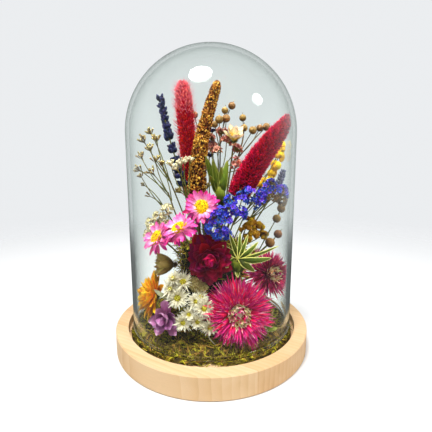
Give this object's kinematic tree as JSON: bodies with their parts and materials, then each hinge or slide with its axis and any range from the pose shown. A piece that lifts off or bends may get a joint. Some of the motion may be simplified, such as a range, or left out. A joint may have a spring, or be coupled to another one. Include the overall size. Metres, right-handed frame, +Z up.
{
  "type": "bell jar",
  "caption": "Clear glass bell jar that lifts off a round recessed wooden base, over dried flowers set in moss.",
  "frame": {"origin": "centre of the underside of the wooden base", "axes": "+Z up along the dome's axis, the front of the planting faces -Y, +X is to the right seen from the front"},
  "size_m": [0.17, 0.17, 0.252],
  "materials": {
    "clear_glass": "clear blown glass",
    "pale_wood": "bare sanded pale softwood",
    "glue": "cured hot glue",
    "foam": "dark dry flower foam",
    "moss": "dried flat moss",
    "pink_plume": "dyed dried plume",
    "crimson_plume": "dyed dried plume",
    "golden_millet": "dried millet grains",
    "lavender": "dried lavender",
    "seed_balls": "dry seed capsules",
    "peach_petals": "dried papery petals",
    "blue_petals": "dried papery petals",
    "yellow_buttons": "dried button flowers",
    "cream_petals": "dried papery petals",
    "burgundy_petals": "dried papery petals",
    "orange_petals": "dried papery petals",
    "purple_petals": "dried papery petals",
    "magenta_petals": "dried papery petals",
    "green_pod": "dry green seed pod",
    "pink_petals": "dried papery petals",
    "white_petals": "dried papery petals",
    "olive_bud": "dry papery bud",
    "limonium": "dried sprig",
    "green_leaf": "dried leaf",
    "silver_leaf": "dried felted leaf",
    "yellow_petals": "dried papery petals",
    "lilac_petals": "dried papery petals"
  },
  "bodies": {
    "base": {"base_board_front": "pale_wood", "base_board_mid_front": "pale_wood", "base_board_mid_back": "pale_wood", "base_board_back": "pale_wood", "glue_pad": "glue", "foam_block": "foam", "moss_bed": "moss", "pink_plume": "pink_plume", "crimson_plume": "crimson_plume", "golden_millet": "golden_millet", "lavender_left": "lavender", "lavender_middle": "lavender", "lavender_right": "lavender", "flax_tall": "seed_balls", "flax_right": "seed_balls", "flax_left": "seed_balls", "flax_low": "seed_balls", "statice_peach": "peach_petals", "statice_blue_left": "blue_petals", "statice_blue_middle": "blue_petals", "statice_blue_right": "blue_petals", "tansy_upper": "yellow_buttons", "tansy_lower": "yellow_buttons", "strawflower_cream": "cream_petals", "strawflower_burgundy": "burgundy_petals", "strawflower_orange": "orange_petals", "strawflower_purple": "purple_petals", "strawflower_magenta_large": "magenta_petals", "strawflower_magenta_right": "magenta_petals", "nigella_tall": "green_pod", "nigella_star": "green_pod", "acroclinium_top": "pink_petals", "acroclinium_middle": "pink_petals", "acroclinium_left": "pink_petals", "daisy_1": "white_petals", "daisy_2": "white_petals", "daisy_3": "white_petals", "daisy_4": "white_petals", "daisy_5": "white_petals", "daisy_6": "white_petals", "daisy_7": "white_petals", "cream_bud": "cream_petals", "olive_bud": "olive_bud", "cream_filler": "cream_petals", "limonium_upper": "limonium", "limonium_middle": "limonium", "limonium_inner": "limonium", "limonium_low": "limonium", "leaf_right": "green_leaf", "leaf_silver": "silver_leaf", "leaf_white": "silver_leaf", "back_strawflower_pink": "pink_petals", "back_strawflower_yellow": "yellow_petals", "back_statice": "lilac_petals", "back_limonium": "limonium", "back_daisy": "white_petals"},
    "dome": {"glass_dome": "clear_glass"}
  },
  "joints": [
    {"name": "dome_lift", "type": "slide", "parent": "base", "child": "dome", "axis": [0, 0, 1], "range_m": [0, 0.25]}
  ]
}
